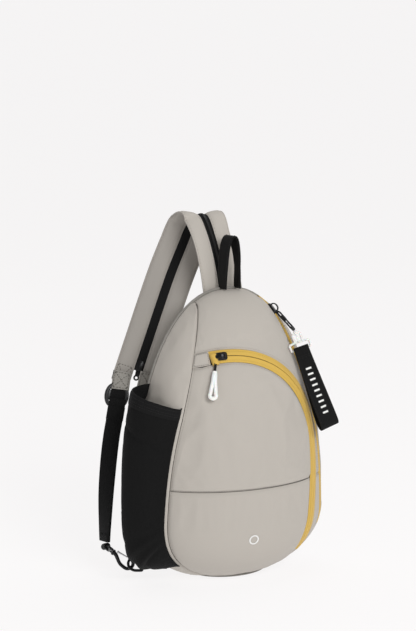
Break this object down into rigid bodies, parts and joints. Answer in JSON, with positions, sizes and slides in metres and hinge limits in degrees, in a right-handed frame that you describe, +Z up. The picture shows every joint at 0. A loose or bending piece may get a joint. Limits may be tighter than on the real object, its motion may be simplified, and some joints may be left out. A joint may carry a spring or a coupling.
{
  "type": "sling bag",
  "caption": "Egg-shaped soft sling bag with an arched front pocket, side bottle pocket, split zip-up shoulder strap with snap hooks, grab handle and zip pulls.",
  "frame": {"origin": "on the floor at the bag's flat rest face, on its centre plane", "axes": "+X to the right seen from the front, +Y towards the wearer's back, +Z up"},
  "size_m": [0.2741, 0.1734, 0.438],
  "materials": {
    "taupe_fabric": "woven polyester, soft sheen",
    "yellow_tape": "woven zip tape",
    "black_stretch": "stretch knit",
    "black_web": "ribbed webbing",
    "lining": "plain lining",
    "foam": "closed-cell foam",
    "base_board": "stiff board",
    "coil": "nylon coil",
    "black_coil": "nylon coil",
    "black_metal": "black plated, satin",
    "steel": "satin",
    "white_plastic": "moulded",
    "white_print": "moulded mark",
    "black_cord": "braided cord",
    "black_plastic": "moulded"
  },
  "bodies": {
    "bag": {"base_panel": "base_board", "front_top_panel": "taupe_fabric", "front_pocket_panel": "taupe_fabric", "lower_front_panel": "taupe_fabric", "lower_side_panel": "taupe_fabric", "left_gusset": "taupe_fabric", "right_gusset": "taupe_fabric", "back_panel": "taupe_fabric", "back_foam": "foam", "back_lining": "lining", "front_lining": "lining", "pocket_lining": "lining", "bottle_pocket": "black_stretch", "pocket_hem": "black_stretch", "arch_zip_upper_tape": "yellow_tape", "arch_zip_lower_tape": "yellow_tape", "arch_zip_coil": "coil", "zip_end_patch": "taupe_fabric", "zip_garage": "yellow_tape", "main_zip_front_tape": "yellow_tape", "main_zip_rear_tape": "yellow_tape", "main_zip_coil": "coil", "emblem": "white_print", "left_ring_tab": "black_web", "right_ring_tab": "black_web", "strap_anchor": "taupe_fabric", "strap_left_half": "taupe_fabric", "strap_right_half": "taupe_fabric", "strap_zip_tape": "black_web", "strap_zip_coil": "black_coil", "left_webbing": "black_web", "right_webbing": "black_web", "left_web_loop": "black_web", "right_web_loop": "black_web"},
    "handle": {"grab_handle": "black_web"},
    "arch_slider": {"arch_slider": "black_metal"},
    "arch_pull": {"arch_pull_cord": "black_cord", "arch_pull_loop": "white_plastic"},
    "main_slider": {"main_slider": "black_metal"},
    "main_pull": {"main_pull_cord": "black_cord", "clip_body": "white_plastic"},
    "clip_lever": {"clip_lever": "white_plastic"},
    "fob": {"fob_strap": "black_web"},
    "strap_zip_slider": {"strap_zip_slider": "black_metal"},
    "strap_zip_pull": {"strap_zip_pull": "black_metal"},
    "left_buckle": {"left_buckle": "black_plastic"},
    "right_buckle": {"right_buckle": "black_plastic"},
    "left_eye": {"left_hook_eye": "black_metal"},
    "left_hook": {"left_hook_body": "black_metal"},
    "left_gate": {"left_hook_gate": "steel"},
    "right_eye": {"right_hook_eye": "black_metal"},
    "right_hook": {"right_hook_body": "black_metal"},
    "right_gate": {"right_hook_gate": "steel"},
    "left_ring": {"left_ring": "black_metal"},
    "right_ring": {"right_ring": "black_metal"}
  },
  "joints": [
    {"name": "handle_fold", "type": "hinge", "parent": "bag", "child": "handle", "pos_m": [0.002, 0.033, 0.3458], "axis": [1, 0, 0], "range_deg": [0, 30]},
    {"name": "arch_slider_travel", "type": "hinge", "parent": "bag", "child": "arch_slider", "pos_m": [-0.02119, 0.01657, 0.1741], "axis": [0.188, 0.9161, 0.3542], "range_deg": [0, 42.3]},
    {"name": "arch_pull_swing", "type": "hinge", "parent": "arch_slider", "child": "arch_pull", "pos_m": [-0.04611, -0.01991, 0.27525], "axis": [-0.9263, 0.3495, 0.1403], "range_deg": [0, 80]},
    {"name": "main_slider_travel", "type": "slide", "parent": "bag", "child": "main_slider", "axis": [0.3791, -0.5077, -0.7737], "range_m": [0, 0.024]},
    {"name": "main_pull_swing", "type": "hinge", "parent": "main_slider", "child": "main_pull", "pos_m": [0.05681, 0.01114, 0.31571], "axis": [-0.4787, -0.878, 0], "range_deg": [0, 40]},
    {"name": "clip_lever_slide", "type": "slide", "parent": "main_pull", "child": "clip_lever", "axis": [0.3246, -0.177, -0.9292], "range_m": [0, 0.003], "stiffness_N_per_m": 150},
    {"name": "fob_swing", "type": "hinge", "parent": "main_pull", "child": "fob", "pos_m": [0.0682, -0.01997, 0.27411], "axis": [-0.8158, 0.4448, -0.3697], "range_deg": [0, 45]},
    {"name": "strap_slider_travel", "type": "slide", "parent": "bag", "child": "strap_zip_slider", "axis": [0.3874, 0.0615, 0.9198], "range_m": [0, 0.05]},
    {"name": "strap_pull_swing", "type": "hinge", "parent": "strap_zip_slider", "child": "strap_zip_pull", "pos_m": [-0.08497, 0.10133, 0.24795], "axis": [0.7973, -0.5234, -0.3007], "range_deg": [0, 35]},
    {"name": "left_buckle_slide", "type": "slide", "parent": "bag", "child": "left_buckle", "axis": [-0.2573, -0.1316, -0.9573], "range_m": [0, 0.04]},
    {"name": "right_buckle_slide", "type": "slide", "parent": "bag", "child": "right_buckle", "axis": [-0.2421, -0.0605, -0.9684], "range_m": [0, 0.04]},
    {"name": "left_eye_tilt", "type": "hinge", "parent": "bag", "child": "left_eye", "pos_m": [-0.144, 0.0785, 0.0355], "axis": [0.2098, 0.9243, -0.319], "range_deg": [-2, 2]},
    {"name": "left_hook_swivel", "type": "hinge", "parent": "left_eye", "child": "left_hook", "pos_m": [-0.144, 0.0785, 0.0355], "axis": [0.6824, -0.3721, -0.6292], "range_deg": [-8, 8]},
    {"name": "left_gate_open", "type": "hinge", "parent": "left_hook", "child": "left_gate", "pos_m": [-0.13082, 0.07131, 0.02862], "axis": [0.4787, 0.878, 0], "range_deg": [0, 24], "stiffness_Nm_per_rad": 0.02},
    {"name": "right_eye_tilt", "type": "hinge", "parent": "bag", "child": "right_eye", "pos_m": [0.02417, 0.06743, 0.04441], "axis": [-0.457, 0.0653, -0.8871], "range_deg": [-2, 2]},
    {"name": "right_hook_swivel", "type": "hinge", "parent": "right_eye", "child": "right_hook", "pos_m": [0.02417, 0.06743, 0.04441], "axis": [0.8781, -0.1254, -0.4616], "range_deg": [-8, 8]},
    {"name": "right_gate_open", "type": "hinge", "parent": "right_hook", "child": "right_gate", "pos_m": [0.0388, 0.06948, 0.03702], "axis": [-0.457, 0.0653, -0.8871], "range_deg": [0, 24], "stiffness_Nm_per_rad": 0.02},
    {"name": "left_ring_swing", "type": "hinge", "parent": "bag", "child": "left_ring", "pos_m": [-0.10535, 0.05742, 0.01411], "axis": [-0.3667, -0.6726, -0.6428], "range_deg": [-3, 3]},
    {"name": "right_ring_swing", "type": "hinge", "parent": "bag", "child": "right_ring", "pos_m": [0.067, 0.0532, 0.021], "axis": [0.5052, -0.0017, 0.863], "range_deg": [-3, 3]}
  ]
}
